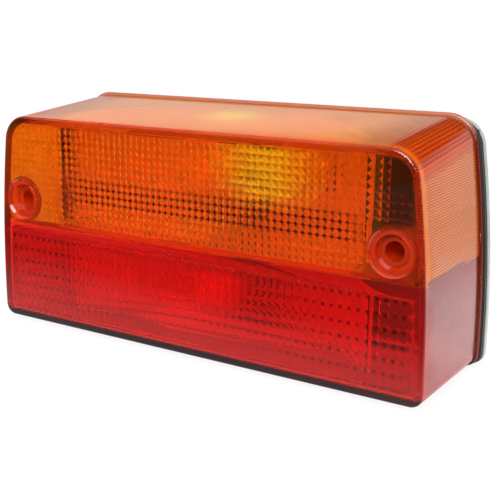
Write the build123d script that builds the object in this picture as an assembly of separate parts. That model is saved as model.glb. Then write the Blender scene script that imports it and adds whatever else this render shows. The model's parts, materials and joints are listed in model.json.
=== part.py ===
from build123d import *
import os

# Rear combination lamp of a tractor: amber turn indicator over red tail and stop light.
# Millimetres. The origin is the middle of the mounting face, X runs along the lamp, +Y points
# into the vehicle and +Z is up, so the lens faces -Y. The amber and red lenses meet at Z = 0.

# Lens outline at the front, measured at the widest point of its bowed ends
FRONT_HALF_WIDTH = 103.5
FRONT_TOP = 47.9            # amber lens above the seam
FRONT_BOTTOM = 44.9         # red lens below the seam
BOW_RADIUS = 520.0          # arc of the lamp's left and right ends
BOW_LEVEL = -36.0           # height at which the ends are widest
TOP_CORNER_RADIUS = 12.0
BOTTOM_CORNER_RADIUS = 5.0
CORNER_MINIMUM = 1.5        # least radius of an inner corner
SIDE_DRAFT = 0.5            # growth of each end from front to rear
TOP_DRAFT = 6.3             # rise of the top wall from front to rear
BOTTOM_DRAFT = 1.5

# Depths, counted from the mounting face towards the viewer
LAMP_DEPTH = 65.0
BASE_RIM_HEIGHT = 3.4
BASE_FLOOR = 2.6
SEAL_HEIGHT = 2.4
FLANGE_HEIGHT = 1.8
FLANGE_WIDTH = 1.0
FLANGE_EDGE_RADIUS = 0.8

# Lens walls and optics
FRONT_WALL = 3.0
SIDE_WALL = 3.0
FRONT_EDGE_RADIUS = 1.2
PRISM_PITCH = 3.0
PRISM_HEIGHT = 0.6
PILLOW_PITCH_X = 3.6
PILLOW_PITCH_Z = 5.6
PILLOW_HEIGHT = 0.55
PRISM_MARGIN = 0.6          # smooth border between amber prisms and walls
PILLOW_MARGIN = 2.0         # smooth border between red pillows and walls
OPTICS_BED = 0.15           # common bed that the prisms rise from
OPTICS_ROOT = 0.5           # depth to which the bed is rooted in the wall
SEAM_BAND = 6.0             # smooth red band below the seam
AMBER_BAND = 1.6            # smooth amber band above the seam
FLUTE_PITCH = 1.0
FLUTE_DEPTH = 0.3
FLUTED_TOP_RUN = 42.0       # length of top wall that carries flutes beside each corner

# Screw wells in the amber lens
WELL_X = 89.2
WELL_Z = 11.0
WELL_RIM_RADIUS = 9.2
WELL_LEDGE_RADIUS = 8.2
WELL_RIM_DEPTH = 1.0
WELL_RADIUS = 6.6
WELL_DEPTH = 3.2
WELL_PAD_HALF = 10.6        # plain square round each well
WELL_BOSS_RADIUS = 10.2
WELL_BOSS_DEPTH = 5.6
COLUMN_RADIUS = 6.4
COLUMN_BORE = 3.8
COLUMN_END = 16.0           # rear end of each screw column, from the mounting face
COLUMN_FLOOR = 5.0          # material under the screw head

# Screws, washers and threaded inserts of the lens
SCREW_RADIUS = 2.0
SCREW_HEAD_RADIUS = 3.4
SCREW_HEAD_HEIGHT = 2.6
SCREW_SLOT_WIDTH = 1.0
SCREW_SLOT_DEPTH = 1.2
SCREW_CLEARANCE = 0.3
WASHER_HEIGHT = 1.0
INSERT_RADIUS = 3.4
INSERT_LENGTH = 10.0
THREAD_GAP = 0.05

# Seal and base
FIT_GAP = 0.4
SPIGOT_WALL = 2.0
SPIGOT_REACH = 6.0          # how far the spigot stands inside the lens
SPIGOT_INSET = 1.4
BASE_EDGE_RADIUS = 1.2
BASE_END_MARGIN = 2.2       # base beyond the lens wall at the ends
BASE_TOP_MARGIN = -0.8      # base beyond the lens wall at the top, behind the flange
BASE_BOTTOM_MARGIN = 0.4    # base beyond the lens wall at the bottom
SEAT_GAP = 0.1

# Reflector troughs and the divider between the chambers
REFLECTOR_HALF_WIDTH = 72.0
REFLECTOR_FRONT = 46.0
REFLECTOR_VERTEX = 10.0
REFLECTOR_WALL = 1.6
REFLECTOR_GAP = 1.2         # reflector edge to lens wall
NECK_RADIUS = 13.0
NECK_BORE = 11.0
DIVIDER_HALF = 0.9
DIVIDER_REACH = 58.5

# Lamp holders and bulbs
INDICATOR_Z = 25.0          # height of the indicator bulb
TAIL_Z = -22.5              # height of the tail and stop bulb
COLLAR_RADIUS = 10.6
COLLAR_HEIGHT = 12.0
HOLDER_RADIUS = 8.4
HOLDER_WALL = 0.6
HOLDER_LENGTH = 16.5
HOLDER_GAP = 0.15
PIN_SLOT_WIDTH = 2.4
PIN_SLOT_LENGTH = 8.0
CAP_RADIUS = 7.5
CAP_WALL = 0.4
CAP_LENGTH = 14.0
CAP_REAR = 7.0              # rear rim of the bulb cap, from the mounting face
CAP_PIN_RADIUS = 0.95
CAP_PIN_REACH = 1.1
PIN_LEVEL = 13.0
INSULATOR_LENGTH = 1.2
CONTACT_RADIUS = 1.7
CONTACT_HEIGHT = 0.9
TAIL_CONTACT_SPREAD = 3.0
GLASS_RADIUS = 12.6
GLASS_CENTRE = 38.0
GLASS_NECK_RADIUS = 6.8
GLASS_WALL = 0.7
GLASS_FOOT = 14.0
GLASS_PLUG = 2.1            # thickness of the glass where the stem grows from it
STEM_RADIUS = 2.4
STEM_TIP = 25.5
FILAMENT_RADIUS = 0.7
FILAMENT_LENGTH = 6.0
LEAD_RADIUS = 0.35
FILAMENT_SETBACK = 2.0      # filament behind the middle of the bulb
TAIL_FILAMENT_STEP = 5.0
TAIL_FILAMENT_RISE = 1.5

# Contact strips on the base floor
STRIP_THICKNESS = 0.6
STRIP_WIDTH = 4.0
STRIP_REACH = 24.0
STRIP_GAP = 0.3
BLADE_HEIGHT = 9.0
BLADE_THICKNESS = 0.8
EARTH_WIDTH = 6.0
EARTH_BLADE_Z = 5.0
EARTH_BLADE_HEIGHT = 5.0
CARD_THICKNESS = 1.2

# Mounting studs and the cable grommet
STUD_SPACING = 152.0
STUD_RADIUS = 3.0
STUD_REACH = 22.0
STUD_HEAD_RADIUS = 6.0
STUD_HEAD_HEIGHT = 3.0
STUD_NECK = 6.0             # square neck that keeps the stud from turning
STUD_BOSS_WALL = 2.4
STUD_BOSS_HEIGHT = 9.0
GROMMET_X = 46.0
GROMMET_Z = -29.0
GROMMET_BORE = 4.0
GROMMET_GROOVE_RADIUS = 6.5
GROMMET_LIP_WIDTH = 2.0
GROMMET_LIP_HEIGHT = 2.0

# Depth levels derived from the stack
LENS_REAR = BASE_RIM_HEIGHT + SEAL_HEIGHT
LENS_INNER = LAMP_DEPTH - FRONT_WALL
STRIP_TOP = BASE_FLOOR + STRIP_THICKNESS
SPIGOT_OFFSET = SIDE_WALL + SPIGOT_INSET
CONTACT_REAR = CAP_REAR - INSULATOR_LENGTH - CONTACT_HEIGHT
SCREW_SEAT = COLUMN_END + COLUMN_FLOOR + WASHER_HEIGHT
FILAMENT_DEPTH = GLASS_CENTRE - FILAMENT_SETBACK
STEM_FOOT = GLASS_FOOT + GLASS_PLUG
HALF_PLANE = 400.0


def at(depth):
    """Plane parallel to the mounting face, the given distance in front of it."""
    return Plane.XZ.offset(depth)


def bow(half_width, level):
    """Half width of a bowed end at the given height."""
    return half_width - (level - BOW_LEVEL) ** 2 / (2 * BOW_RADIUS)


def outline(half_width, top, bottom, grow=0.0):
    """Lamp outline with bowed ends and rounded corners, offset outwards by grow."""
    wide = half_width + grow
    high = top + grow
    low = -bottom - grow
    high_half = bow(wide, high)
    low_half = bow(wide, low)
    edges = [
        Line((-high_half, high), (high_half, high)),
        ThreePointArc((high_half, high), (wide, BOW_LEVEL), (low_half, low)),
        Line((low_half, low), (-low_half, low)),
        ThreePointArc((-low_half, low), (-wide, BOW_LEVEL), (-high_half, high)),
    ]
    face = Sketch() + make_face(edges)
    face = fillet(face.vertices().sort_by(Axis.Y)[:2], max(BOTTOM_CORNER_RADIUS + grow, CORNER_MINIMUM))
    return fillet(face.vertices().sort_by(Axis.Y)[-2:], TOP_CORNER_RADIUS + grow)


def front_size():
    return FRONT_HALF_WIDTH, FRONT_TOP, FRONT_BOTTOM


def rear_size():
    return FRONT_HALF_WIDTH + SIDE_DRAFT, FRONT_TOP + TOP_DRAFT, FRONT_BOTTOM + BOTTOM_DRAFT


def front_outline(grow=0.0):
    return outline(*front_size(), grow)


def rear_outline(grow=0.0):
    return outline(*rear_size(), grow)


def base_outline(grow=0.0):
    wide, top, bottom = rear_size()
    return outline(wide + BASE_END_MARGIN, top + BASE_TOP_MARGIN, bottom + BASE_BOTTOM_MARGIN, grow)


def slab(sketch, near, far):
    """Sketch extruded between two distances from the mounting face."""
    return extrude(at(near) * sketch, far - near)


def rod(x, z, radius, near, far):
    """Round bar along Y between two distances from the mounting face."""
    return slab(Pos(x, z) * Circle(radius), near, far)


def tube(x, z, outer, inner, near, far):
    return slab(Pos(x, z) * (Circle(outer) - Circle(inner)), near, far)


def block(x, z, size_x, size_z, near, far):
    return slab(Pos(x, z) * Rectangle(size_x, size_z), near, far)


def end_runs(size):
    """Stretches of the cavity outline that carry flutes: top run, corner, end and corner."""
    face = outline(*size, -SIDE_WALL)
    path = Wire([e for e in face.edges() if e.center().X > FRONT_HALF_WIDTH / 2])
    if (path @ 1).Y > (path @ 0).Y:
        path = Wire([e.reversed() for e in reversed(path.edges())])
    corner = path @ 0
    top_run = Edge.make_line(Vector(corner.X - FLUTED_TOP_RUN, corner.Y), corner)
    return [top_run] + list(path.edges())


def fluted_loop(size, counts):
    """Closed polygon of the lens cavity, zigzag over the ends and their corners."""
    side = []
    for run, count in zip(end_runs(size), counts):
        for step in range(count):
            for share, depth in ((0.0, 0.0), (0.5, FLUTE_DEPTH)):
                spot = (step + share) / count
                inward = (run % spot).rotate(Axis.Z, -90)
                side.append(run @ spot + inward * depth)
        finish = run @ 1
    side.append(finish)
    mirrored = [Vector(-p.X, p.Y) for p in reversed(side)]
    return Sketch() + make_face(Polyline(*side, *mirrored, close=True))


def lens_shell():
    """Hollow two-colour lens with drafted walls, rounded front edge and rear flange."""
    body = loft([at(LAMP_DEPTH) * front_outline(), at(LENS_REAR) * rear_outline()], ruled=True)
    body = fillet(body.faces().sort_by(Axis.Y)[0].edges(), FRONT_EDGE_RADIUS)
    flange = slab(rear_outline(FLANGE_WIDTH), LENS_REAR, LENS_REAR + FLANGE_HEIGHT)
    body += fillet(flange.faces().sort_by(Axis.Y)[0].edges(), FLANGE_EDGE_RADIUS)
    counts = [max(2, round(run.length / FLUTE_PITCH)) for run in end_runs(rear_size())]
    near = fluted_loop(rear_size(), counts)
    far = fluted_loop(front_size(), counts)
    return body - loft([at(LENS_REAR) * near, at(LENS_INNER) * far], ruled=True)


def ridge_profile(length, pitch, height):
    """Saw profile of one row of prisms, rising from a thin common bed."""
    count = round(length / pitch)
    start = -count * pitch / 2
    points = [(start, -OPTICS_ROOT), (start, OPTICS_BED)]
    for tooth in range(count):
        points.append((start + (tooth + 0.5) * pitch, OPTICS_BED + height))
        points.append((start + (tooth + 1) * pitch, OPTICS_BED))
    points.append((-start, -OPTICS_ROOT))
    return Sketch() + make_face(Polyline(*points, close=True))


def optics(region, pitch_x, pitch_z, height):
    """Field of four-sided prisms on the inner front face, trimmed to a region."""
    box = region.bounding_box()
    middle = box.center()
    span_x = box.size.X + 2 * pitch_x
    span_z = box.size.Y + 2 * pitch_z
    across = Plane((middle.X, -LENS_INNER, middle.Y - span_z / 2), x_dir=(1, 0, 0), z_dir=(0, 0, 1))
    upright = Plane((middle.X + span_x / 2, -LENS_INNER, middle.Y), x_dir=(0, 0, 1), z_dir=(-1, 0, 0))
    columns = extrude(across * ridge_profile(span_x, pitch_x, height), span_z)
    rows = extrude(upright * ridge_profile(span_z, pitch_z, height), span_x)
    field = slab(region, LENS_INNER - 2 * OPTICS_BED - height, LENS_INNER + OPTICS_ROOT)
    return columns & rows & field


def optics_region(low, high, margin):
    """Part of the front face between two heights, clear of the side walls."""
    inside = front_outline(-SIDE_WALL - margin)
    return inside & Pos(0, (low + high) / 2) * Rectangle(2 * HALF_PLANE, high - low)


def make_amber_lens(shell):
    """Upper lens with pyramid optics and the two screw wells."""
    lens = split(shell, Plane.XY, keep=Keep.TOP)
    region = optics_region(AMBER_BAND, FRONT_TOP, PRISM_MARGIN)
    for side in (-1, 1):
        region -= Pos(side * WELL_X, WELL_Z) * Rectangle(2 * WELL_PAD_HALF, 2 * WELL_PAD_HALF)
        region -= Pos(side * FRONT_HALF_WIDTH, WELL_Z) * Rectangle(2 * WELL_PAD_HALF, 2 * WELL_PAD_HALF)
    lens += optics(region, PRISM_PITCH, PRISM_PITCH, PRISM_HEIGHT)
    for side in (-1, 1):
        x = side * WELL_X
        lens += rod(x, WELL_Z, WELL_BOSS_RADIUS, LAMP_DEPTH - WELL_BOSS_DEPTH, LENS_INNER + OPTICS_ROOT)
        lens += rod(x, WELL_Z, COLUMN_RADIUS, COLUMN_END, LAMP_DEPTH - WELL_BOSS_DEPTH)
        ledge = at(LAMP_DEPTH - WELL_RIM_DEPTH) * Pos(x, WELL_Z) * Circle(WELL_LEDGE_RADIUS)
        rim = at(LAMP_DEPTH) * Pos(x, WELL_Z) * Circle(WELL_RIM_RADIUS)
        lens -= loft([ledge, rim])
        lens -= rod(x, WELL_Z, WELL_RADIUS, LAMP_DEPTH - WELL_DEPTH, LAMP_DEPTH)
        lens -= rod(x, WELL_Z, COLUMN_BORE, COLUMN_END + COLUMN_FLOOR, LAMP_DEPTH)
        lens -= rod(x, WELL_Z, SCREW_RADIUS + SCREW_CLEARANCE, COLUMN_END, LAMP_DEPTH)
    return lens


def make_red_lens(shell):
    """Lower lens with a field of flat pillows below a smooth band."""
    lens = split(shell, Plane.XY, keep=Keep.BOTTOM)
    region = optics_region(-FRONT_BOTTOM, -SEAM_BAND, PILLOW_MARGIN)
    return lens + optics(region, PILLOW_PITCH_X, PILLOW_PITCH_Z, PILLOW_HEIGHT)


def strip_slot(x, z, side):
    """Tunnel along X that lets a contact strip pass a ring wall."""
    length = STRIP_REACH
    width = STRIP_WIDTH + 2 * STRIP_GAP
    return block(x + side * length / 2, z, length, width, BASE_FLOOR, STRIP_TOP + STRIP_GAP)


def earth_slot():
    """Tunnel along Z for the earth strip between the two lamp holders."""
    middle = (INDICATOR_Z + TAIL_Z) / 2
    width = EARTH_WIDTH + 2 * STRIP_GAP
    return block(0, middle, width, INDICATOR_Z - TAIL_Z, BASE_FLOOR, STRIP_TOP + STRIP_GAP)


def contact_layout():
    """Contact strips as (name, x of contact, height of bulb axis, side they lead to)."""
    return [
        ("indicator", 0.0, INDICATOR_Z, 1),
        ("tail", -TAIL_CONTACT_SPREAD, TAIL_Z, -1),
        ("stop", TAIL_CONTACT_SPREAD, TAIL_Z, 1),
    ]


def cut_strip_slots(body):
    for _, x, z, side in contact_layout():
        body -= strip_slot(x, z, side)
    return body - earth_slot()


def make_seal():
    """Flat rubber ring between lens flange and base rim."""
    ring = base_outline(-FIT_GAP) - rear_outline(FIT_GAP - SPIGOT_OFFSET)
    return slab(ring, BASE_RIM_HEIGHT, LENS_REAR)


def make_base():
    """Moulded base: rimmed floor, spigot, screw bosses, holder collars and stud bosses."""
    base = slab(base_outline(), 0, BASE_RIM_HEIGHT)
    base = fillet(base.faces().sort_by(Axis.Y)[-1].edges(), BASE_EDGE_RADIUS)
    inside = rear_outline(-SPIGOT_OFFSET - SPIGOT_WALL)
    base -= slab(inside, BASE_FLOOR, BASE_RIM_HEIGHT)
    spigot = rear_outline(-SPIGOT_OFFSET) - inside
    base += slab(spigot, BASE_RIM_HEIGHT, LENS_REAR + SPIGOT_REACH)
    collar_bore = HOLDER_RADIUS + HOLDER_GAP
    for z in (INDICATOR_Z, TAIL_Z):
        base += tube(0, z, COLLAR_RADIUS, collar_bore, BASE_FLOOR, COLLAR_HEIGHT)
    base = cut_strip_slots(base)
    pocket = STUD_HEAD_RADIUS + SEAT_GAP
    for side in (-1, 1):
        insert_hole = INSERT_RADIUS + THREAD_GAP
        base += rod(side * WELL_X, WELL_Z, COLUMN_RADIUS, BASE_FLOOR, COLUMN_END)
        base -= rod(side * WELL_X, WELL_Z, insert_hole, COLUMN_END - INSERT_LENGTH, COLUMN_END)
        stud_x = side * STUD_SPACING / 2
        base += tube(stud_x, 0, pocket + STUD_BOSS_WALL, pocket, BASE_FLOOR, STUD_BOSS_HEIGHT)
        neck_hole = STUD_NECK + 2 * SEAT_GAP
        base -= block(stud_x, 0, neck_hole, neck_hole, 0, BASE_FLOOR)
    return base - rod(GROMMET_X, GROMMET_Z, GROMMET_GROOVE_RADIUS + SEAT_GAP, 0, BASE_FLOOR)


def trough_region(half_width, vertex):
    """Area in front of a parabola that opens towards the lens, seen from above."""
    mouth = -REFLECTOR_FRONT
    crown = -2 * vertex - mouth
    curve = Bezier((-half_width, mouth), (0, crown), (half_width, mouth))
    return Sketch() + make_face([curve, Line((half_width, mouth), (-half_width, mouth))])


def chamber():
    """Free space inside the closed lamp that the reflectors are trimmed to."""
    inset = SIDE_WALL + REFLECTOR_GAP
    space = loft([at(LENS_INNER) * front_outline(-inset), at(LENS_REAR) * rear_outline(-inset)], ruled=True)
    step = LENS_REAR + SPIGOT_REACH + FIT_GAP
    space -= slab(rear_outline(), LENS_REAR, step)
    return space + slab(rear_outline(-SPIGOT_OFFSET - SPIGOT_WALL - FIT_GAP), BASE_FLOOR, step)


def make_reflector(z, low, high):
    """Parabolic trough with a neck round the bulb, for the chamber between two heights."""
    level = Plane((0, 0, low), x_dir=(1, 0, 0), z_dir=(0, 0, 1))
    hollow = extrude(level * trough_region(REFLECTOR_HALF_WIDTH, REFLECTOR_VERTEX), high - low)
    outer = trough_region(REFLECTOR_HALF_WIDTH + REFLECTOR_WALL, REFLECTOR_VERTEX - REFLECTOR_WALL)
    body = extrude(level * outer, high - low)
    neck_front = REFLECTOR_VERTEX + REFLECTOR_WALL + NECK_RADIUS / 4
    body += rod(0, z, NECK_RADIUS, BASE_FLOOR, neck_front)
    body -= hollow
    body -= rod(0, z, NECK_BORE, BASE_FLOOR, REFLECTOR_FRONT)
    return cut_strip_slots(body & chamber())


def make_divider():
    """Light-tight plate between the two chambers, standing on the base floor."""
    rear_half = FRONT_HALF_WIDTH + SIDE_DRAFT - SPIGOT_OFFSET - SPIGOT_WALL
    half = bow(rear_half, 0) - FIT_GAP
    plate = block(0, 0, 2 * half, 2 * DIVIDER_HALF, BASE_FLOOR, DIVIDER_REACH)
    notch = 2 * (STUD_HEAD_RADIUS + SEAT_GAP + STUD_BOSS_WALL + FIT_GAP)
    for side in (-1, 1):
        x = side * STUD_SPACING / 2
        plate -= block(x, 0, notch, notch, BASE_FLOOR, STUD_BOSS_HEIGHT + FIT_GAP)
    return plate - earth_slot()


def make_holder(z):
    """Bayonet lamp holder: thin steel sleeve with two open pin slots."""
    far = BASE_FLOOR + HOLDER_LENGTH
    sleeve = tube(0, z, HOLDER_RADIUS, HOLDER_RADIUS - HOLDER_WALL, BASE_FLOOR, far)
    sleeve -= block(0, z, 4 * HOLDER_RADIUS, PIN_SLOT_WIDTH, far - PIN_SLOT_LENGTH, far)
    return cut_strip_slots(sleeve)


def make_contact_card(z, contact_xs):
    """Insulating card at the bottom of a lamp holder, pierced for the contacts."""
    radius = HOLDER_RADIUS - HOLDER_WALL - HOLDER_GAP
    near = STRIP_TOP + STRIP_GAP
    card = rod(0, z, radius, near, near + CARD_THICKNESS)
    for x in contact_xs:
        card -= rod(x, z, CONTACT_RADIUS + STRIP_GAP, near, near + CARD_THICKNESS)
    return card


def make_contact_strip(x, z, side):
    """Brass strip on the base floor with a contact button and an upright blade."""
    tip = x + side * STRIP_REACH
    middle = (x + tip) / 2
    strip = block(middle, z, STRIP_REACH + STRIP_WIDTH, STRIP_WIDTH, BASE_FLOOR, STRIP_TOP)
    strip += rod(x, z, CONTACT_RADIUS, STRIP_TOP, CONTACT_REAR)
    return strip + block(tip, z, BLADE_THICKNESS, STRIP_WIDTH, STRIP_TOP, STRIP_TOP + BLADE_HEIGHT)


def make_earth_strip():
    """Brass strip that joins the two lamp holders, with its own blade."""
    length = INDICATOR_Z - TAIL_Z - 2 * (HOLDER_RADIUS + THREAD_GAP)
    strip = block(0, (INDICATOR_Z + TAIL_Z) / 2, EARTH_WIDTH, length, BASE_FLOOR, STRIP_TOP)
    blade_top = STRIP_TOP + EARTH_BLADE_HEIGHT
    return strip + block(0, EARTH_BLADE_Z, EARTH_WIDTH, BLADE_THICKNESS, STRIP_TOP, blade_top)


def glass_form(z, inset, near):
    """Pear-shaped body turned about the bulb axis, inset from the outer skin."""
    neck = GLASS_NECK_RADIUS - inset
    ball = GLASS_RADIUS - inset
    shoulder = GLASS_CENTRE - (ball**2 - neck**2) ** 0.5
    crown = GLASS_CENTRE + ball
    profile = [
        Line((0, near), (neck, near)),
        Line((neck, near), (neck, shoulder)),
        ThreePointArc((neck, shoulder), (ball, GLASS_CENTRE), (0, crown)),
        Line((0, crown), (0, near)),
    ]
    upright = Plane((0, 0, z), x_dir=(1, 0, 0), z_dir=(0, 0, -1))
    face = Sketch() + make_face(profile)
    return revolve(upright * face, Axis((0, 0, z), (0, -1, 0)))


def make_bulb_glass(z):
    return glass_form(z, 0.0, GLASS_FOOT) - glass_form(z, GLASS_WALL, STEM_FOOT)


def make_bulb_cap(z):
    """Brass bayonet cap with its two pins."""
    cap = tube(0, z, CAP_RADIUS, CAP_RADIUS - CAP_WALL, CAP_REAR, CAP_REAR + CAP_LENGTH)
    pin = Plane.YZ * Pos(-PIN_LEVEL, z) * Circle(CAP_PIN_RADIUS)
    reach = CAP_RADIUS + CAP_PIN_REACH
    pins = extrude(pin, reach, both=True)
    return cap + (pins - rod(0, z, CAP_RADIUS - CAP_WALL, 0, LAMP_DEPTH))


def make_cap_insulator(z):
    """Black glass plug that closes the rear of the bulb cap."""
    radius = CAP_RADIUS - CAP_WALL - THREAD_GAP
    return rod(0, z, radius, CAP_REAR - INSULATOR_LENGTH, CAP_REAR + INSULATOR_LENGTH)


def make_solder_contacts(z, contact_xs):
    return [rod(x, z, CONTACT_RADIUS, CONTACT_REAR, CONTACT_REAR + CONTACT_HEIGHT) for x in contact_xs]


def make_stem(z):
    """Glass stem that carries the filament leads."""
    return rod(0, z, STEM_RADIUS, STEM_FOOT, STEM_TIP)


def make_filament(z, depth, offset):
    """Coiled wire across two leads that rise from the stem."""
    coil = Plane.YZ * Pos(-depth, z + offset) * Circle(FILAMENT_RADIUS)
    filament = extrude(coil, FILAMENT_LENGTH / 2, both=True)
    for side in (-1, 1):
        filament += rod(side * FILAMENT_LENGTH / 4, z + offset, LEAD_RADIUS, STEM_TIP, depth)
    return filament


def make_lens_screw(x):
    """Pan-head screw at the bottom of a well, driven into its insert."""
    foot = COLUMN_END - INSERT_LENGTH
    screw = rod(x, WELL_Z, SCREW_RADIUS, foot, SCREW_SEAT)
    head_top = SCREW_SEAT + SCREW_HEAD_HEIGHT
    head = rod(x, WELL_Z, SCREW_HEAD_RADIUS, SCREW_SEAT, head_top)
    head = fillet(head.faces().sort_by(Axis.Y)[0].edges(), SCREW_HEAD_HEIGHT / 2)
    for size in ((SCREW_SLOT_WIDTH, SCREW_HEAD_RADIUS), (SCREW_HEAD_RADIUS, SCREW_SLOT_WIDTH)):
        head -= block(x, WELL_Z, *size, head_top - SCREW_SLOT_DEPTH, head_top)
    return screw + head


def make_washer(x):
    seat = COLUMN_END + COLUMN_FLOOR
    return tube(x, WELL_Z, SCREW_HEAD_RADIUS, SCREW_RADIUS + THREAD_GAP, seat, SCREW_SEAT)


def make_insert(x):
    near = COLUMN_END - INSERT_LENGTH
    return tube(x, WELL_Z, INSERT_RADIUS, SCREW_RADIUS + THREAD_GAP, near, COLUMN_END)


def make_stud(x):
    """Mounting stud, its head on the base floor and its square neck in the base."""
    stud = rod(x, 0, STUD_HEAD_RADIUS, BASE_FLOOR, BASE_FLOOR + STUD_HEAD_HEIGHT)
    stud += block(x, 0, STUD_NECK, STUD_NECK, 0, BASE_FLOOR)
    shank = rod(x, 0, STUD_RADIUS, -STUD_REACH, 0)
    return stud + chamfer(shank.faces().sort_by(Axis.Y)[-1].edges(), STUD_RADIUS / 4)


def make_grommet():
    """Rubber cable inlet, waisted where it grips the base floor."""
    lip = GROMMET_GROOVE_RADIUS + GROMMET_LIP_WIDTH
    body = rod(GROMMET_X, GROMMET_Z, GROMMET_GROOVE_RADIUS, 0, BASE_FLOOR)
    body += rod(GROMMET_X, GROMMET_Z, lip, BASE_FLOOR, BASE_FLOOR + GROMMET_LIP_HEIGHT)
    body += rod(GROMMET_X, GROMMET_Z, lip, -GROMMET_LIP_HEIGHT, 0)
    near = -GROMMET_LIP_HEIGHT
    return body - rod(GROMMET_X, GROMMET_Z, GROMMET_BORE, near, BASE_FLOOR + GROMMET_LIP_HEIGHT)


def lamp_pieces():
    """Every piece of the lamp by node name."""
    shell = lens_shell()
    clear = DIVIDER_HALF + FIT_GAP
    pieces = {
        "amber_lens": make_amber_lens(shell),
        "red_lens": make_red_lens(shell),
        "lens_seal": make_seal(),
        "base_housing": make_base(),
        "indicator_reflector": make_reflector(INDICATOR_Z, clear, FRONT_TOP + TOP_DRAFT),
        "tail_reflector": make_reflector(TAIL_Z, -FRONT_BOTTOM - BOTTOM_DRAFT, -clear),
        "chamber_divider": make_divider(),
        "earth_strip": make_earth_strip(),
        "cable_grommet": make_grommet(),
    }
    for name, x, z, side in contact_layout():
        pieces[name + "_contact_strip"] = make_contact_strip(x, z, side)
    for name, z in (("indicator", INDICATOR_Z), ("tail", TAIL_Z)):
        contact_xs = [x for _, x, level, _ in contact_layout() if level == z]
        pieces[name + "_lamp_holder"] = make_holder(z)
        pieces[name + "_contact_card"] = make_contact_card(z, contact_xs)
        pieces[name + "_bulb_glass"] = make_bulb_glass(z)
        pieces[name + "_bulb_cap"] = make_bulb_cap(z)
        pieces[name + "_bulb_insulator"] = make_cap_insulator(z)
        pieces[name + "_bulb_contacts"] = Compound(make_solder_contacts(z, contact_xs))
        pieces[name + "_bulb_stem"] = make_stem(z)
    pieces["indicator_filament"] = make_filament(INDICATOR_Z, FILAMENT_DEPTH, 0)
    pieces["stop_filament"] = make_filament(TAIL_Z, FILAMENT_DEPTH, 0)
    tail_depth = FILAMENT_DEPTH - TAIL_FILAMENT_STEP
    pieces["tail_filament"] = make_filament(TAIL_Z, tail_depth, TAIL_FILAMENT_RISE)
    for name, side in (("left", -1), ("right", 1)):
        pieces[name + "_lens_screw"] = make_lens_screw(side * WELL_X)
        pieces[name + "_screw_washer"] = make_washer(side * WELL_X)
        pieces[name + "_screw_insert"] = make_insert(side * WELL_X)
        pieces[name + "_mounting_stud"] = make_stud(side * STUD_SPACING / 2)
    return pieces


def main():
    os.makedirs("parts", exist_ok=True)
    for name, piece in lamp_pieces().items():
        export_step(piece, f"parts/{name}.step")


main()
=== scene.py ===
import json
import math

import bmesh
import bpy
from mathutils import Euler, Matrix, Vector


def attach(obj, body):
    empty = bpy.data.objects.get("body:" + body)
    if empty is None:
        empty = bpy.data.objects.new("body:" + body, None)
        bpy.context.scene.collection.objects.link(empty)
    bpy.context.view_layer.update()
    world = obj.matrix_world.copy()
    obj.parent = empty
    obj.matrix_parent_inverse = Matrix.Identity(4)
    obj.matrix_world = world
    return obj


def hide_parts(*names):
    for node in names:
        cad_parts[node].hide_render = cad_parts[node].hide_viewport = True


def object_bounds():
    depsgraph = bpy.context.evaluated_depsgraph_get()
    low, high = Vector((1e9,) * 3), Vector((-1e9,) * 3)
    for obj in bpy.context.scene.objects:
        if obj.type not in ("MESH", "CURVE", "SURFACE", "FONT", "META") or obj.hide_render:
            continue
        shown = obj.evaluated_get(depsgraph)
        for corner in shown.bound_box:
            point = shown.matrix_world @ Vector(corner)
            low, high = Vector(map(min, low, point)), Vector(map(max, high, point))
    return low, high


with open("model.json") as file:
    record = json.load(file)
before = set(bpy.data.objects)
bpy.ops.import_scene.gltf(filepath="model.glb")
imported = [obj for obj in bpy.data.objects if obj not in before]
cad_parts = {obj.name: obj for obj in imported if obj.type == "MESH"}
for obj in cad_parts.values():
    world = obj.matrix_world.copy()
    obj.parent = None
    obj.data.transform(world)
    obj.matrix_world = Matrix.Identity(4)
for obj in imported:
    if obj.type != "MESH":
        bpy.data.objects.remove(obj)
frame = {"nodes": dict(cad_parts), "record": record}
cad_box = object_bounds()
nodes = frame["nodes"]
scene = bpy.context.scene

MM = 0.001


def limits(first, last):
    """Two limits in metres, from millimetres."""
    return first * MM, last * MM


def span(low, high, soft):
    """Limits of a stretch and the softness of its ends in metres, from millimetres."""
    return low * MM, high * MM, soft * MM


def middle_of(node):
    """Middle of a node's box."""
    points = [v.co for v in nodes[node].data.vertices]
    return Vector([0.5 * (min(p[axis] for p in points) + max(p[axis] for p in points)) for axis in range(3)])


def behind_front(depth):
    """Place in Y of a plane so many millimetres behind the lens front."""
    return LENS_FRONT + depth * MM


# Places and tints on the lamp: X to the right, Y to the back and Z up

LENS_FRONT = cad_box[0].y
FRONT_SKIN = behind_front(0.1)
WELL_X, _, WELL_Z = middle_of("right_lens_screw")
# Painted shade in rings around the screw wells
WELL_RINGS = (5.6 * MM, 8.3 * MM, 10.2 * MM)    # radii
RING_HALF = 0.1 * MM
RING_SOFT = 0.3 * MM
RING_SHADE_TINT = (0.30, 0.008, 0.003)

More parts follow.
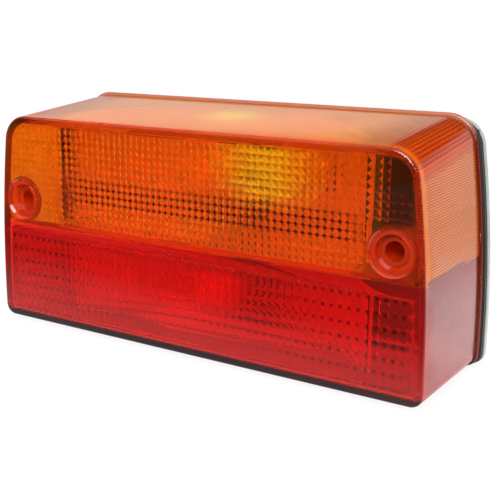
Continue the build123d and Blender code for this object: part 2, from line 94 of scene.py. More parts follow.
# Amber front
PRISM_PITCH = 3.0 * MM
PRISM_SHIFT = 1.05 * MM
PRISM_ROUND = 0.42             # clear round in each prism, in parts of its pitch
PRISM_SOFT = 0.1
# Painted light: yellow glow of the bulb and its brighter core on the amber front
GLOW_ACROSS = span(18, 56, 8)
GLOW_UP = span(25, 46, 5)
GLOW_CORE = span(27, 47, 6)
GLOW_CORNER_SHADE = 0.35
GLOW_TINT = (1.0, 0.42, 0.015)
CORE_TINT = (1.0, 0.66, 0.03)
# Painted light: brighter, yellower left end of the amber front
LEFT_END_LIGHT_FADE = limits(-66, -78)
LEFT_END_LIGHT_TINT = (1.0, 0.32, 0.005)
ENDS_FADE = limits(96.5, 98)
FOOT_FADE = limits(3, 2)
RIM_TINT = (1.0, 0.14, 0.004)
HEAD_FADE = limits(44.4, 45.2)
HEAD_TINT = (1.0, 0.16, 0.008)
# Painted shade in the prism corners: a row along the gap at the divider, a column at the reflector's left
# edge and part of the glow
SHADED_ROW_ACROSS = span(-58, 78, 8)
SHADED_ROW_UP = span(12, 24, 2)
SHADED_COLUMN_ACROSS = span(-66, -58.5, 1)
SHADED_COLUMN_UP = span(28, 44, 6)
PRISM_CORNER_SHADE = (0.03, 0.001, 0.0)
SHADE_ACROSS = span(85.5, 97, 1.5)
SHADE_UP = span(21, 44.5, 1)
SHADE_STRENGTH = 0.65
SHADE_TINT = (0.10, 0.006, 0.012)

# Red front
PILLOW_PITCH_X = 3.6 * MM
PILLOW_PITCH_Z = 5.6 * MM
PILLOW_SHIFT_X = 1.8 * MM
PILLOW_SHIFT_Z = 0.55 * MM
PILLOW_SAG = 0.22 * MM         # from a pillow's middle to the middle of an edge
EDGE_SPREAD = 0.5 ** 2
PILLOW_FRONT = behind_front(2.6)
PILLOW_BACK = behind_front(4.6)
PILLOW_SOFT = 0.05 * MM
PILLOW_TOP = -5.0 * MM
# Painted shade at the pits between the pillows, uneven and stronger towards the ends
PIT_FADE = limits(1.1, 0.55)
PIT_ACROSS = span(-96, 96, 1)
PIT_UP = span(-40, -5, 1)
PIT_ENDS = limits(20, 70)
PIT_SHADE_MIDDLE = 0.25
PIT_SHADE_AT_ENDS = 0.95
PIT_CLOUDS = 260.0
PIT_UNEVEN = (0.5, 1.0)
PIT_SHADE_TINT = (0.02, 0.0, 0.0)
# Painted shadow along the lower edge of the red front
RED_FOOT_SHADOW_FADE = limits(-41.3, -42)
RED_FOOT_SHADOW_TINT = (0.01, 0.001, 0.003)

# Walls and rear edge
TOP_SLOPE = 6.3 / 59.2
CORNER_X = 84.7 * MM
CORNER_Z = 35.9 * MM
CORNER_RADIUS = 12.0 * MM
CORNER_SOFT = limits(-0.2, 0.2)
CORNER_PITCH = 1.5 * MM
FLUTE_PITCH = 1.1 * MM
FLUTE_RELIEF = 0.02 * MM
FLUTE_EDGE = (0.38, 0.12)      # from the land to the groove, in parts of the pitch
LINES_FROM = behind_front(5)
LINES_ENDS = limits(60, 85)
RIM_DEPTH = 2.0 * MM
# Painted shade along the rear edge of the walls, next to the seal
REAR_SHADE_FADE = limits(-10, -9)
REAR_SHADE_TINT = (0.45, 0.05, 0.012)
# The seam between the lenses, darkened by painted shade of the divider seen through the wall
JOINT_UP = span(0.3, 1.7, 0.3)
JOINT_BACK = span(-62, -24, 0.5)
JOINT_SHADE_TINT = (0.30, 0.035, 0.002)
# Painted light: the bulb seen bright through the top wall
BULB_LIGHT_ACROSS = span(-8, 12, 9)
BULB_LIGHT_BACK = span(-42, -24, 8)
BULB_LIGHT_TINT = (1.0, 0.70, 0.02)
# Painted light on the top of the lens edge
EDGE_TOP_LIGHT_FADE = limits(46, 52)
EDGE_TOP_LIGHT_TINT = (0.62, 0.22, 0.12)

# Base and divider
# Painted shade inside the base
BASE_ACROSS = span(-98, 98, 0.5)
BASE_UP = span(-42, 49, 0.5)
BASE_SHADE_FADE = limits(-2.4, -2.6)
BASE_SHADE_TINT = (0.008, 0.008, 0.008)
# Painted shade on the ends of the divider
DIVIDER_SHADE_ENDS = limits(70, 74)
DIVIDER_END_SHADE = (0.45, 0.44, 0.42)


# Node helpers

COLOUR = "NodeSocketColor"
VALUE = "NodeSocketFloat"
MIX_FACTOR, MIX_FIRST, MIX_SECOND, MIX_RESULT = 0, 6, 7, 2
NOISE_MIDDLE = (0.3, 0.7)      # where most values of a noise lie
NOISE_DETAIL = 3.0


def rgba(colour):
    """Colour with full alpha."""
    return (*colour, 1.0)


def feed(tree, socket, value):
    """Link a socket to another one, or set it to a plain value."""
    if isinstance(value, bpy.types.NodeSocket):
        tree.links.new(value, socket)
    else:
        socket.default_value = value


def add_axes(tree):
    """X, Y and Z of the object coordinates."""
    coords = tree.nodes.new("ShaderNodeTexCoord")
    axes = tree.nodes.new("ShaderNodeSeparateXYZ")
    tree.links.new(coords.outputs["Object"], axes.inputs["Vector"])
    return axes.outputs["X"], axes.outputs["Y"], axes.outputs["Z"]


def add_noise(tree, scale, detail=NOISE_DETAIL):
    """Noise in object coordinates, scale in features per metre."""
    coords = tree.nodes.new("ShaderNodeTexCoord")
    noise = tree.nodes.new("ShaderNodeTexNoise")
    tree.links.new(coords.outputs["Object"], noise.inputs["Vector"])
    feed(tree, noise.inputs["Scale"], scale)
    feed(tree, noise.inputs["Detail"], detail)
    return noise.outputs["Fac"]


def add_math(tree, operation, *values):
    """Math node whose inputs are sockets or plain numbers."""
    node = tree.nodes.new("ShaderNodeMath")
    node.operation = operation
    for socket, value in zip(node.inputs, values):
        feed(tree, socket, value)
    return node.outputs["Value"]


def add_product(tree, *masks):
    """Product of two or more masks."""
    product = masks[0]
    for mask in masks[1:]:
        product = add_math(tree, "MULTIPLY", product, mask)
    return product


def add_range(tree, value, source, target):
    """Value mapped from one range to another, and kept within it."""
    node = tree.nodes.new("ShaderNodeMapRange")
    labels = ("Value", "From Min", "From Max", "To Min", "To Max")
    for label, entry in zip(labels, (value, *source, *target)):
        feed(tree, node.inputs[label], entry)
    return node.outputs["Result"]


def add_falloff(tree, value, start, end):
    """Smooth step from 0 at one limit to 1 at the other."""
    step = add_range(tree, value, (start, end), (0.0, 1.0))
    step.node.interpolation_type = "SMOOTHSTEP"
    return step


def add_window(tree, value, low, high, soft):
    """1 between two limits, 0 outside them, with soft shoulders."""
    rise = add_falloff(tree, value, low - soft, low + soft)
    fall = add_falloff(tree, value, high + soft, high - soft)
    return add_product(tree, rise, fall)


def add_mix(tree, mask, first, second):
    """Colour that is the first where the mask is 0 and the second where it is 1."""
    node = tree.nodes.new("ShaderNodeMix")
    node.data_type = "RGBA"
    feed(tree, node.inputs[MIX_FACTOR], mask)
    feed(tree, node.inputs[MIX_FIRST], first)
    feed(tree, node.inputs[MIX_SECOND], second)
    return node.outputs[MIX_RESULT]


def add_distance(tree, across, up):
    """Length of an offset."""
    squares = [add_math(tree, "MULTIPLY", offset, offset) for offset in (across, up)]
    return add_math(tree, "SQRT", add_math(tree, "ADD", *squares))


def add_grey_ramp(tree, value, stops):
    """Grey ramp through (position, grey) stops."""
    ramp = tree.nodes.new("ShaderNodeValToRGB")
    elements = ramp.color_ramp.elements
    while len(elements) < len(stops):
        elements.new(0.5)
    for element, (position, grey) in zip(elements, stops):
        element.position = position
        element.color = (grey, grey, grey, 1.0)
    tree.links.new(value, ramp.inputs["Fac"])
    return ramp.outputs["Color"]


# Effects that several materials share

def new_group(name, inputs, outputs):
    """Node group with named sockets; returns it with the sockets at its two inner ends."""
    group = bpy.data.node_groups.new(name, "ShaderNodeTree")
    for in_out, sockets in (("INPUT", inputs), ("OUTPUT", outputs)):
        for label, kind in sockets.items():
            group.interface.new_socket(label, in_out=in_out, socket_type=kind)
    given = group.nodes.new("NodeGroupInput").outputs
    result = group.nodes.new("NodeGroupOutput").inputs
    return group, given, result


def place_group(tree, group, values):
    """Group node in a material, with that material's own values; returns its outputs."""
    node = tree.nodes.new("ShaderNodeGroup")
    node.node_tree = group
    for label, value in values.items():
        feed(tree, node.inputs[label], value)
    return node.outputs


def build_moulding():
    """Cloudy colour, uneven gloss and fine grain."""
    group, given, result = new_group(
        "moulding",
        {"Dark": COLOUR, "Light": COLOUR, "Cloud Scale": VALUE, "Cloud Low": VALUE, "Cloud High": VALUE,
         "Grain Scale": VALUE, "Grain Detail": VALUE, "Smooth": VALUE, "Rough": VALUE},
        {"Colour": COLOUR, "Roughness": VALUE, "Grain": VALUE})
    clouds = add_noise(group, given["Cloud Scale"])
    grain = add_noise(group, given["Grain Scale"], given["Grain Detail"])
    light = add_range(group, clouds, (given["Cloud Low"], given["Cloud High"]), (0.0, 1.0))
    gloss = add_range(group, grain, NOISE_MIDDLE, (given["Smooth"], given["Rough"]))
    group.links.new(add_mix(group, light, given["Dark"], given["Light"]), result["Colour"])
    group.links.new(gloss, result["Roughness"])
    group.links.new(grain, result["Grain"])
    return group


def build_optic_cells():
    """Offsets from the middle of each prism or pillow, in parts of its pitch, and their squared length."""
    group, given, result = new_group(
        "optic_cells",
        {"Pitch X": VALUE, "Pitch Z": VALUE, "Shift X": VALUE, "Shift Z": VALUE},
        {"Across": VALUE, "Up": VALUE, "Spread": VALUE})
    x, _, z = add_axes(group)
    squares = []
    for axis, letter, label in ((x, "X", "Across"), (z, "Z", "Up")):
        moved = add_math(group, "ADD", axis, given["Shift " + letter])
        cell = add_math(group, "FRACT", add_math(group, "DIVIDE", moved, given["Pitch " + letter]))
        offset = add_math(group, "SUBTRACT", cell, 0.5)
        group.links.new(offset, result[label])
        squares.append(add_math(group, "MULTIPLY", offset, offset))
    group.links.new(add_math(group, "ADD", *squares), result["Spread"])
    return group


def add_rounded(tree, x, y, z):
    """1 in the two rounded corners between top wall and end walls, and the place along their arc."""
    rise = add_math(tree, "MULTIPLY_ADD", y, TOP_SLOPE, CORNER_Z - TOP_SLOPE * LENS_FRONT)
    out = add_math(tree, "SUBTRACT", add_math(tree, "ABSOLUTE", x), CORNER_X)
    up = add_math(tree, "SUBTRACT", z, rise)
    inside = add_product(tree, add_falloff(tree, out, *CORNER_SOFT), add_falloff(tree, up, *CORNER_SOFT))
    return inside, add_math(tree, "MULTIPLY", add_math(tree, "ARCTAN2", up, out), CORNER_RADIUS)


def add_grooves(tree, place, pitch):
    """1 in the grooves of lines at an even pitch."""
    saw = add_math(tree, "PINGPONG", place, 0.5 * pitch)
    return add_falloff(tree, saw, *(edge * pitch for edge in FLUTE_EDGE))


def build_wall_marks():
    """Deep corners, glowing front rim, fine lines, painted shade along the rear edge next to the seal, and
    the joint above the red lens with painted shade of the divider.
    """
    group, given, result = new_group(
        "wall_marks",
        {"Colour": COLOUR, "Corner": COLOUR, "Rim": COLOUR, "Groove": COLOUR},
        {"Colour": COLOUR, "Height": VALUE})
    x, y, z = add_axes(group)
    reach = add_math(group, "ABSOLUTE", x)
    rounded, arc = add_rounded(group, x, y, z)
    flat = add_math(group, "SUBTRACT", 1.0, rounded)
    fine = add_product(group, add_grooves(group, add_math(group, "SUBTRACT", reach, z), FLUTE_PITCH), flat)
    bold = add_product(group, add_grooves(group, arc, CORNER_PITCH), rounded)
    ends = add_product(group, add_falloff(group, reach, *LINES_ENDS),
                       add_math(group, "GREATER_THAN", y, LINES_FROM))
    lines = add_product(group, add_math(group, "ADD", fine, bold), ends)
    rim = add_falloff(group, y, LINES_FROM, LINES_FROM - RIM_DEPTH)
    # painted shade along the rear edge
    rear = add_falloff(group, y, *REAR_SHADE_FADE)
    # seam between the lenses with painted shade of the divider
    joint = add_product(group, add_window(group, z, *JOINT_UP), add_window(group, y, *JOINT_BACK))
    colour = given["Colour"]
    for mask, tint in ((rounded, given["Corner"]), (rim, given["Rim"]), (lines, given["Groove"]),
                       (rear, rgba(REAR_SHADE_TINT)), (joint, rgba(JOINT_SHADE_TINT))):
        colour = add_mix(group, mask, colour, tint)
    group.links.new(colour, result["Colour"])
    group.links.new(add_math(group, "MULTIPLY", lines, -FLUTE_RELIEF), result["Height"])
    return group


MOULDING = build_moulding()
OPTIC_CELLS = build_optic_cells()
WALL_MARKS = build_wall_marks()


# Materials

ACRYLIC_IOR = 1.49
GLASS_IOR = 1.50
GRAIN_HEIGHT = 0.3 * MM
OPAQUE_CLOUDS = (60.0, 0.35, 0.65)    # scale, where dark ends, where light starts
OPAQUE_DETAIL = 4.0
CLEAR_CLOUDS = (25.0, *NOISE_MIDDLE)
CLEAR_GRAIN = (400.0, NOISE_DETAIL)   # scale, detail


def new_material(name):
    """Empty node material with a Principled shader."""
    material = bpy.data.materials.new(name)
    material.use_nodes = True
    tree = material.node_tree
    tree.nodes.clear()
    output = tree.nodes.new("ShaderNodeOutputMaterial")
    shader = tree.nodes.new("ShaderNodeBsdfPrincipled")
    tree.links.new(shader.outputs["BSDF"], output.inputs["Surface"])
    return material, tree, shader


def add_bump(tree, shader, height, strength=1.0, distance=1.0):
    """Relief on a shader, from a height in parts of the distance, which is in metres."""
    bump = tree.nodes.new("ShaderNodeBump")
    bump.inputs["Strength"].default_value = strength
    bump.inputs["Distance"].default_value = distance
    tree.links.new(height, bump.inputs["Height"])
    tree.links.new(bump.outputs["Normal"], shader.inputs["Normal"])


def add_moulding(tree, shader, dark, light, clouds, grain, gloss):
    """Moulded finish on a shader: clouds are (scale, low, high) and grain is (scale, detail)."""
    finish = place_group(tree, MOULDING, {
        "Dark": rgba(dark), "Light": rgba(light),
        "Cloud Scale": clouds[0], "Cloud Low": clouds[1], "Cloud High": clouds[2],
        "Grain Scale": grain[0], "Grain Detail": grain[1],
        "Smooth": gloss[0], "Rough": gloss[1],
    })
    tree.links.new(finish["Colour"], shader.inputs["Base Color"])
    tree.links.new(finish["Roughness"], shader.inputs["Roughness"])
    return finish["Grain"]


def opaque(name, dark, light, gloss, metallic, grain, bump=0.0):
    """Opaque material with cloudy colour, uneven gloss and an optional grain."""
    material, tree, shader = new_material(name)
    height = add_moulding(tree, shader, dark, light, OPAQUE_CLOUDS, (grain, OPAQUE_DETAIL), gloss)
    shader.inputs["Metallic"].default_value = metallic
    if bump:
        add_bump(tree, shader, height, bump, GRAIN_HEIGHT)
    return material


def clear(name, dark, light, gloss, share, ior=ACRYLIC_IOR):
    """Clear moulded plastic or glass; share is the part of the light that passes unscattered."""
    material, tree, shader = new_material(name)
    add_moulding(tree, shader, dark, light, CLEAR_CLOUDS, CLEAR_GRAIN, gloss)
    shader.inputs["Transmission Weight"].default_value = share
    shader.inputs["IOR"].default_value = ior
    return material


def shader_of(material):
    """Principled shader of a material."""
    return next(n for n in material.node_tree.nodes if n.type == "BSDF_PRINCIPLED")


def colour_of(material):
    """Socket that feeds a material's colour."""
    return shader_of(material).inputs["Base Color"].links[0].from_socket


def tint_where(material, mask, tint):
    """Recolour a material where the mask is 1."""
    tree = material.node_tree
    colour = add_mix(tree, mask, colour_of(material), rgba(tint))
    tree.links.new(colour, shader_of(material).inputs["Base Color"])


def finish_amber(material):
    """Painted light and shade on the front: the bulb's yellow glow, the bright left end, shaded prism corners
    and the shaded right end.
    """
    tree = material.node_tree
    x, y, z = add_axes(tree)
    face = add_math(tree, "LESS_THAN", y, FRONT_SKIN)
    # painted light: the bulb's yellow glow and its core
    glow = add_product(tree, add_window(tree, x, *GLOW_ACROSS), add_window(tree, z, *GLOW_UP))
    tint_where(material, add_product(tree, glow, face), GLOW_TINT)
    core = add_product(tree, glow, add_window(tree, x, *GLOW_CORE))
    tint_where(material, add_product(tree, core, face), CORE_TINT)
    # painted light on the left end
    tint_where(material, add_falloff(tree, x, *LEFT_END_LIGHT_FADE), LEFT_END_LIGHT_TINT)
    tint_where(material, add_falloff(tree, add_math(tree, "ABSOLUTE", x), *ENDS_FADE), RIM_TINT)
    tint_where(material, add_falloff(tree, z, *FOOT_FADE), RIM_TINT)

    # painted shade in the prism corners
    row = add_product(tree, add_window(tree, z, *SHADED_ROW_UP), add_window(tree, x, *SHADED_ROW_ACROSS))
    column = add_product(tree, add_window(tree, x, *SHADED_COLUMN_ACROSS), add_window(tree, z, *SHADED_COLUMN_UP))
    zone = add_math(tree, "MAXIMUM", add_math(tree, "MAXIMUM", row, column),
                    add_math(tree, "MULTIPLY", glow, GLOW_CORNER_SHADE))
    cells = place_group(tree, OPTIC_CELLS, {
        "Pitch X": PRISM_PITCH, "Pitch Z": PRISM_PITCH, "Shift X": 0.0, "Shift Z": PRISM_SHIFT,
    })
    corners = add_falloff(tree, cells["Spread"], PRISM_ROUND ** 2, (PRISM_ROUND + PRISM_SOFT) ** 2)
    tint_where(material, add_product(tree, corners, zone, face), PRISM_CORNER_SHADE)

    shade = add_product(tree, add_window(tree, x, *SHADE_ACROSS), add_window(tree, z, *SHADE_UP))
    tint_where(material, add_math(tree, "MULTIPLY", shade, SHADE_STRENGTH), SHADE_TINT)
    tint_where(material, add_falloff(tree, z, *HEAD_FADE), HEAD_TINT)


def finish_red(material):
    """Pillow optics, painted shade at the pits between the pillows and a painted shadow along the lower edge.
    """
    tree = material.node_tree
    x, y, z = add_axes(tree)
    pitches = {"Pitch X": PILLOW_PITCH_X, "Pitch Z": PILLOW_PITCH_Z}
    between = place_group(tree, OPTIC_CELLS, pitches | {
        "Shift X": PILLOW_SHIFT_X + 0.5 * PILLOW_PITCH_X, "Shift Z": PILLOW_SHIFT_Z + 0.5 * PILLOW_PITCH_Z,
    })
    away = add_distance(tree, add_math(tree, "MULTIPLY", between["Across"], PILLOW_PITCH_X),
                        add_math(tree, "MULTIPLY", between["Up"], PILLOW_PITCH_Z))
    face = add_product(tree, add_math(tree, "LESS_THAN", y, FRONT_SKIN),
                       add_window(tree, x, *PIT_ACROSS), add_window(tree, z, *PIT_UP))
    # painted shade at the pits between the pillows
    uneven = add_range(tree, add_noise(tree, PIT_CLOUDS), NOISE_MIDDLE, PIT_UNEVEN)
    ends = add_falloff(tree, add_math(tree, "ABSOLUTE", x), *PIT_ENDS)
    depth = add_math(tree, "MULTIPLY_ADD", ends, PIT_SHADE_AT_ENDS - PIT_SHADE_MIDDLE, PIT_SHADE_MIDDLE)
    pit_shade = add_product(tree, add_falloff(tree, away, *PIT_FADE), face, uneven, depth)
    tint_where(material, pit_shade, PIT_SHADE_TINT)
    # painted shadow along the lower edge
    tint_where(material, add_falloff(tree, z, *RED_FOOT_SHADOW_FADE), RED_FOOT_SHADOW_TINT)

    field = add_product(tree, add_window(tree, y, PILLOW_FRONT, PILLOW_BACK, PILLOW_SOFT),
                        add_math(tree, "LESS_THAN", z, PILLOW_TOP))
    pillows = place_group(tree, OPTIC_CELLS, pitches | {"Shift X": PILLOW_SHIFT_X, "Shift Z": PILLOW_SHIFT_Z})
    bulge = add_math(tree, "MULTIPLY", pillows["Spread"], -PILLOW_SAG / EDGE_SPREAD)
    add_bump(tree, shader_of(material), add_product(tree, bulge, field))


def finish_well(material):
    """Painted shade in dark rings around the screw."""
    tree = material.node_tree
    x, _, z = add_axes(tree)
    away = add_distance(tree, add_math(tree, "SUBTRACT", add_math(tree, "ABSOLUTE", x), WELL_X),
                        add_math(tree, "SUBTRACT", z, WELL_Z))
    for radius in WELL_RINGS:
        ring = add_window(tree, away, radius - RING_HALF, radius + RING_HALF, RING_SOFT)
        tint_where(material, ring, RING_SHADE_TINT)


def finish_wall(material, corner, rim, groove):
    """Marks of the walls in a material's own colours, with the relief of their fine lines."""
    tree = material.node_tree
    shader = shader_of(material)
    marks = place_group(tree, WALL_MARKS, {
        "Colour": colour_of(material), "Corner": rgba(corner), "Rim": rgba(rim), "Groove": rgba(groove),
    })
    tree.links.new(marks["Colour"], shader.inputs["Base Color"])
    add_bump(tree, shader, marks["Height"])


def finish_top(material):
    """Painted light of the bulb, seen through the top wall."""
    tree = material.node_tree
    x, y, _ = add_axes(tree)
    bulb = add_product(tree, add_window(tree, x, *BULB_LIGHT_ACROSS), add_window(tree, y, *BULB_LIGHT_BACK))
    tint_where(material, bulb, BULB_LIGHT_TINT)


def finish_edge(material):
    """Painted light on the rear edge along the top."""
    tree = material.node_tree
    _, _, z = add_axes(tree)
    tint_where(material, add_falloff(tree, z, *EDGE_TOP_LIGHT_FADE), EDGE_TOP_LIGHT_TINT)


def finish_base(material):
    """Painted shade inside the base, behind the lens."""
    tree = material.node_tree
    x, y, z = add_axes(tree)
    inside = add_product(tree, add_window(tree, x, *BASE_ACROSS), add_window(tree, z, *BASE_UP),
                         add_falloff(tree, y, *BASE_SHADE_FADE))
    tint_where(material, inside, BASE_SHADE_TINT)


def finish_divider(material):
    """Painted shade on the ends of the divider."""
    tree = material.node_tree
    x, _, _ = add_axes(tree)
    ends = add_falloff(tree, add_math(tree, "ABSOLUTE", x), *DIVIDER_SHADE_ENDS)
    tint_where(material, ends, DIVIDER_END_SHADE)


AMBER = clear("amber_acrylic", (0.97, 0.22, 0.005), (0.995, 0.26, 0.008), (0.0, 0.03), 0.96)
finish_amber(AMBER)
AMBER_TOP = clear("amber_top", (0.97, 0.32, 0.008), (0.99, 0.38, 0.012), (0.02, 0.06), 0.70)
finish_wall(AMBER_TOP, (0.86, 0.10, 0.003), (0.98, 0.24, 0.01), (0.45, 0.06, 0.002))
finish_top(AMBER_TOP)
AMBER_WALL = clear("amber_wall", (0.97, 0.26, 0.008), (0.99, 0.30, 0.012), (0.02, 0.06), 0.55)
finish_wall(AMBER_WALL, (0.86, 0.10, 0.003), (1.0, 0.26, 0.006), (0.62, 0.10, 0.003))
# Lit copy of the amber for the left-end prisms: painted light
AMBER_LIT_END = clear("amber_lit_end", (0.98, 0.50, 0.003), (1.0, 0.54, 0.005), (0.05, 0.10), 0.28)
# Lit copy of the amber for the prisms in the glow: painted light
AMBER_GLOW = clear("amber_glow", (1.0, 0.72, 0.02), (1.0, 0.80, 0.03), (0.02, 0.06), 0.35)
WELL = clear("amber_well", (0.94, 0.055, 0.006), (0.98, 0.08, 0.010), (0.03, 0.08), 0.74)
finish_well(WELL)
RED = clear("red_acrylic", (0.97, 0.016, 0.008), (0.99, 0.022, 0.012), (0.0, 0.03), 0.90)
finish_red(RED)
RED_WALL = clear("red_wall", (0.82, 0.015, 0.009), (0.86, 0.022, 0.013), (0.02, 0.06), 0.8)
finish_wall(RED_WALL, (0.94, 0.02, 0.012), (0.98, 0.05, 0.02), (0.45, 0.006, 0.004))
EDGE = clear("lens_edge", (0.20, 0.02, 0.006), (0.26, 0.03, 0.008), (0.1, 0.2), 0.6)
finish_edge(EDGE)
BULB = clear("bulb_glass", (0.97, 0.97, 0.97), (0.99, 0.99, 0.99), (0.0, 0.01), 0.1, GLASS_IOR)
MIRROR = opaque("metallised_plastic", (0.95, 0.95, 0.95), (0.98, 0.98, 0.98), (0.26, 0.36), 0.25, 300.0)
BARE = opaque("bare_plastic", (0.008, 0.008, 0.008), (0.014, 0.014, 0.014), (0.4, 0.6), 0.0, 1800.0, 0.2)
SEAL = opaque("seal_rubber", (0.006, 0.006, 0.006), (0.013, 0.012, 0.012), (0.45, 0.65), 0.0, 1500.0, 0.15)
BASE = opaque("base_plastic", (0.285, 0.315, 0.285), (0.315, 0.345, 0.315), (0.30, 0.45), 0.0, 2200.0, 0.25)
finish_base(BASE)
DIVIDER = opaque("divider_plastic", (0.80, 0.80, 0.79), (0.88, 0.88, 0.87), (0.3, 0.5), 0.0, 1800.0, 0.2)
finish_divider(DIVIDER)
STEEL = opaque("zinc_plate", (0.55, 0.55, 0.53), (0.68, 0.68, 0.66), (0.22, 0.38), 1.0, 1600.0, 0.08)
BRASS = opaque("brass", (0.60, 0.42, 0.17), (0.74, 0.55, 0.25), (0.2, 0.35), 1.0, 1200.0, 0.06)
SOLDER = opaque("solder", (0.48, 0.48, 0.49), (0.60, 0.60, 0.61), (0.3, 0.5), 1.0, 1400.0, 0.2)
CARD = opaque("card_laminate", (0.16, 0.08, 0.04), (0.24, 0.13, 0.06), (0.5, 0.7), 0.0, 1400.0, 0.2)
INSULATOR = opaque("black_glass", (0.006, 0.006, 0.008), (0.015, 0.015, 0.018), (0.05, 0.15), 0.0, 500.0)
TUNGSTEN = opaque("tungsten", (0.20, 0.20, 0.21), (0.32, 0.32, 0.33), (0.3, 0.5), 1.0, 2500.0, 0.1)

SLOT_MATERIALS = {
    "amber_lens_plastic": AMBER,
    "red_lens_plastic": RED,
    "seal_rubber": SEAL,
    "base_plastic": BASE,
    "divider_plastic": DIVIDER,
    "metallised_plastic": MIRROR,
    "plated_steel": STEEL,
    "brass": BRASS,
    "bulb_glass": BULB,
    "insulator_glass": INSULATOR,
    "solder": SOLDER,
    "card_laminate": CARD,
    "tungsten": TUNGSTEN,
}
SLOT_OF = {entry["node"]: entry["material_slot"] for entry in frame["record"]["subparts"]}


# Threads of the mounting studs

STUD_RADIUS = 3.0 * MM
STUD_REACH = cad_box[1].y
THREAD_PITCH = 1.0 * MM
THREAD_DEPTH = 0.55 * MM
THREAD_SIDES = 32
STEPS_PER_TURN = 10
THREAD_STEPS = STEPS_PER_TURN * round(STUD_REACH / THREAD_PITCH)
THREAD_END = 0.4               # share of the depth that is left at the tip
TIP_BEVEL = 0.5 * MM
SHANK_FROM = 0.5 * MM
SEAT_SLACK = 0.01 * MM


def cut_stud_thread(bm):
    """Swap the plain shank of a mounting stud for a bar with a thread that runs out at both ends."""
    axis = sum(v.co.x for v in bm.verts) / len(bm.verts)
    shank = [f for f in bm.faces
             if min(v.co.y for v in f.verts) > -SEAT_SLACK and f.calc_center_median().y > SHANK_FROM]
    bmesh.ops.delete(bm, geom=shank, context="FACES")
    head = set(bm.verts)
    seat = Matrix.Translation((axis, 0.0, 0.0)) @ Matrix.Rotation(math.radians(90.0), 4, "X")
    ring = bmesh.ops.create_circle(
        bm, cap_ends=True, segments=THREAD_SIDES, radius=STUD_RADIUS, matrix=seat)["verts"]
    bar = bmesh.ops.spin(
        bm, geom=list({e for v in ring for e in v.link_edges}), cent=(axis, 0.0, 0.0), axis=(0.0, 1.0, 0.0),
        dvec=(0.0, STUD_REACH / THREAD_STEPS, 0.0), angle=0.0, steps=THREAD_STEPS)
    bmesh.ops.contextual_create(bm, geom=[g for g in bar["geom_last"] if isinstance(g, bmesh.types.BMEdge)])
    for vert in set(bm.verts) - head:
        across, along, up = vert.co.x - axis, vert.co.y, vert.co.z
        left = STUD_REACH - along
        phase = (along / THREAD_PITCH + math.atan2(up, across) / (2.0 * math.pi)) % 1.0
        fade = min(1.0, along / THREAD_PITCH, THREAD_END + left / THREAD_PITCH)
        reach = STUD_RADIUS - THREAD_DEPTH * abs(2.0 * phase - 1.0) * fade - max(0.0, TIP_BEVEL - left)
        share = reach / STUD_RADIUS
        vert.co = (axis + across * share, along, up * share)


# Zones of the lens skins, numbered as their material slots

FRONT, WALL, FLANGE, WELL_BOSS, TOP, LEFT_END, GLOW = range(7)
LENS_SKINS = {
    "amber_lens": (AMBER, AMBER_WALL, EDGE, WELL, AMBER_TOP, AMBER_LIT_END, AMBER_GLOW),
    "red_lens": (RED, RED_WALL, EDGE),
}
WELL_REACH = 10.4 * MM
BORE_REACH = 4.2 * MM
WELL_BACK = behind_front(7)
WELL_OUTER = 99.5 * MM
OPTICS_FRONT = behind_front(2.55)
END_X = -67.0 * MM
END_OUTER = -97.5 * MM
GLOW_X = 37.0 * MM
GLOW_Z = 36.0 * MM
GLOW_REACH_X = 18.0 * MM
GLOW_REACH_Z = 12.0 * MM
GLOW_FRINGE = 1.4              # reach of the left faces, in parts of the glow's
FACING = -0.1                  # normals below it face left, or left and down
FRONT_BACK = behind_front(4)
FLANGE_FRONT = -7.7 * MM
TOP_TILT = 0.35                # normals above it belong to the top and bottom walls
CORNER_SLACK = 0.4 * MM


def away_from_well(point):
    """Distance from the axis of the nearer screw well."""
    return math.hypot(abs(point.x) - WELL_X, point.z - WELL_Z)


def amber_optic_zone(face):
    """Zone of a face of the amber prisms, or None where they are as clear as the front."""
    spot, normal = face.center, face.normal
    if END_OUTER < spot.x < END_X:
        return LEFT_END
    spread = math.hypot((spot.x - GLOW_X) / GLOW_REACH_X, (spot.z - GLOW_Z) / GLOW_REACH_Z)
    if spread < 1.0 and normal.x + normal.z < FACING:
        return GLOW
    if spread < GLOW_FRINGE and normal.x < FACING:
        return GLOW
    return None


def lens_zone(node, face, corners):
    """Zone of a lens face."""
    spot = face.center
    amber = node == "amber_lens"
    away = away_from_well(spot)
    if amber and away < WELL_REACH and abs(spot.x) < WELL_OUTER:
        if away > BORE_REACH and spot.y >= WELL_BACK:
            return WALL
        if max(away_from_well(v) for v in corners) < WELL_REACH + CORNER_SLACK:
            return WELL_BOSS
    if amber and OPTICS_FRONT < spot.y < FRONT_BACK:
        zone = amber_optic_zone(face)
        if zone is not None:
            return zone
    if max(v.y for v in corners) < FRONT_BACK + CORNER_SLACK:
        return FRONT
    if spot.y > FLANGE_FRONT:
        return FLANGE
    return TOP if amber and abs(face.normal.z) > TOP_TILT else WALL


# Pieces

WELD = 0.001 * MM
SMOOTH_ANGLE = math.radians(28.0)
RED_OPTICS = (behind_front(2.9), behind_front(4.6))
REFLECTOR_BACK = 0.05          # normals above it face the base


def weld_and_smooth(bm, node):
    """Weld a node's triangles, and make them smooth over its curves and sharp at its edges."""
    bmesh.ops.remove_doubles(bm, verts=bm.verts, dist=WELD)
    if node.endswith("mounting_stud"):
        cut_stud_thread(bm)
    bmesh.ops.recalc_face_normals(bm, faces=bm.faces)
    for face in bm.faces:
        face.smooth = True
    for edge in bm.edges:
        edge.smooth = edge.is_manifold and edge.calc_face_angle(math.pi) < SMOOTH_ANGLE
        if node == "red_lens" and all(RED_OPTICS[0] < v.co.y < RED_OPTICS[1] for v in edge.verts):
            edge.smooth = True


